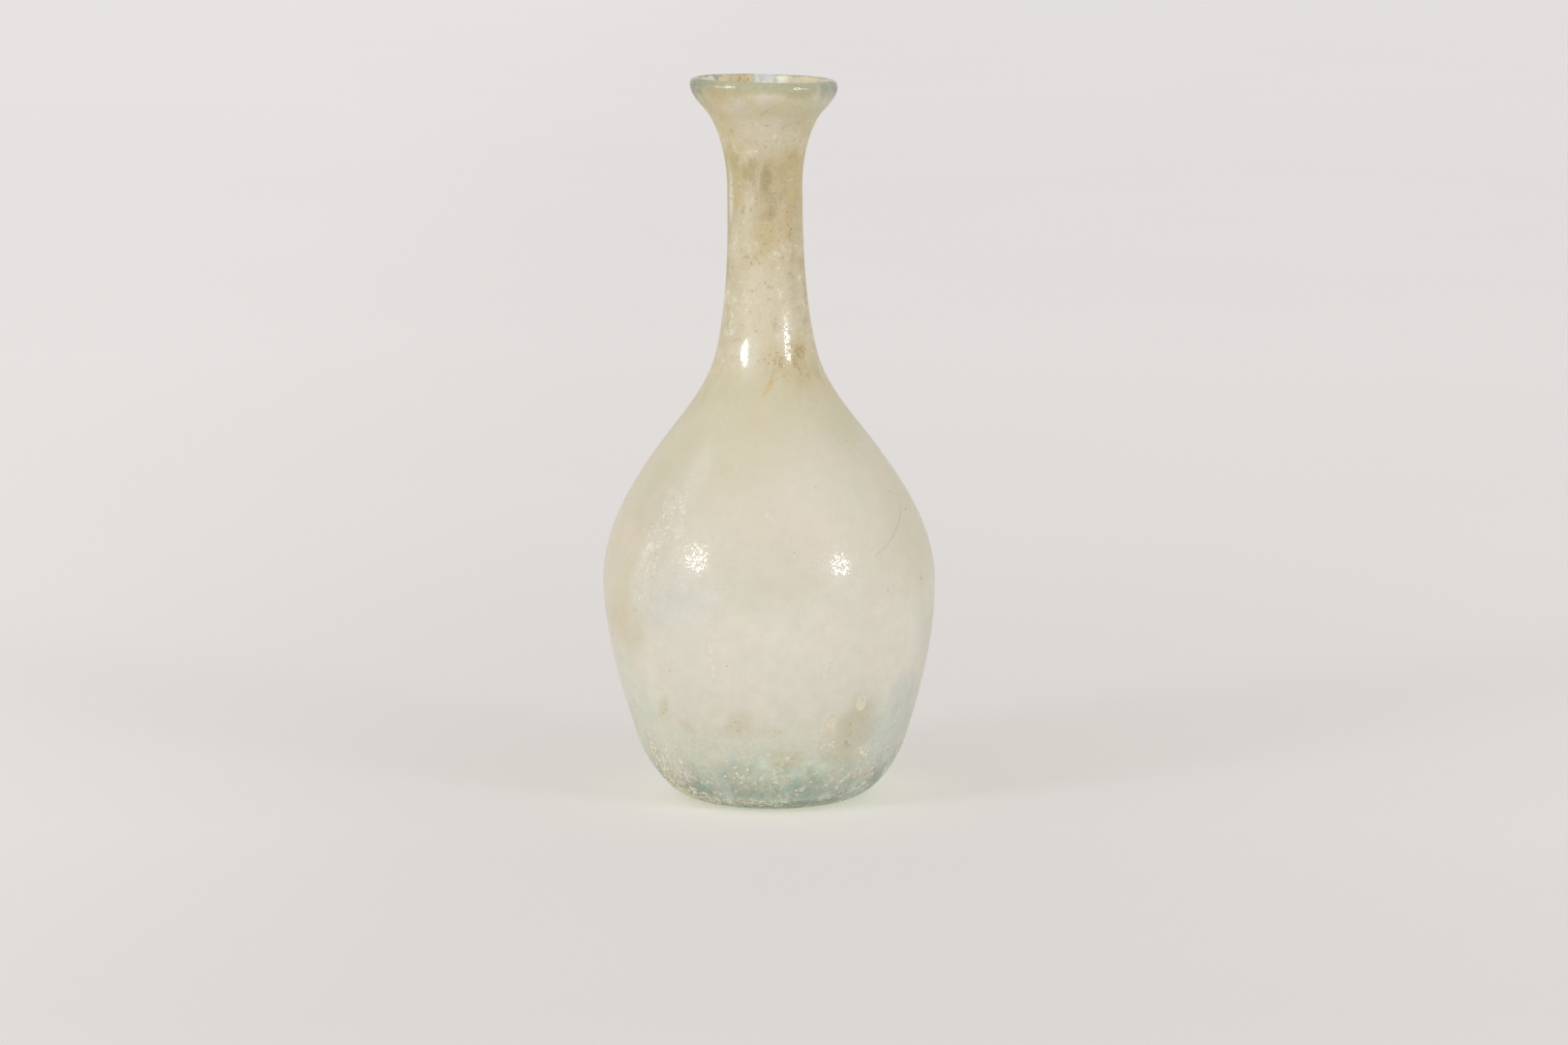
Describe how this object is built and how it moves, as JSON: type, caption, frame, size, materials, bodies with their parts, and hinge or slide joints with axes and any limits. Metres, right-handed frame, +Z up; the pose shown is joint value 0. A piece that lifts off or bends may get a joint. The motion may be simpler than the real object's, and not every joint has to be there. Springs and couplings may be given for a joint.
{
  "type": "glass perfume flask",
  "caption": "Small free-blown glass flask with a drop-shaped body, a slender neck and a flared, rounded mouth, milky with age.",
  "frame": {"origin": "on the ground, under the middle of the body at its widest", "axes": "+Z up through the neck and the mouth, +X to the right as the flask is pictured, -Y towards the viewer"},
  "size_m": [0.0648, 0.0648, 0.14],
  "materials": {
    "weathered_glass": "glossy blue-green glass under a milky cream weathering film, with tan soil stains and iridescent flaking"
  },
  "bodies": {
    "root": {"flask": "weathered_glass"}
  },
  "joints": []
}
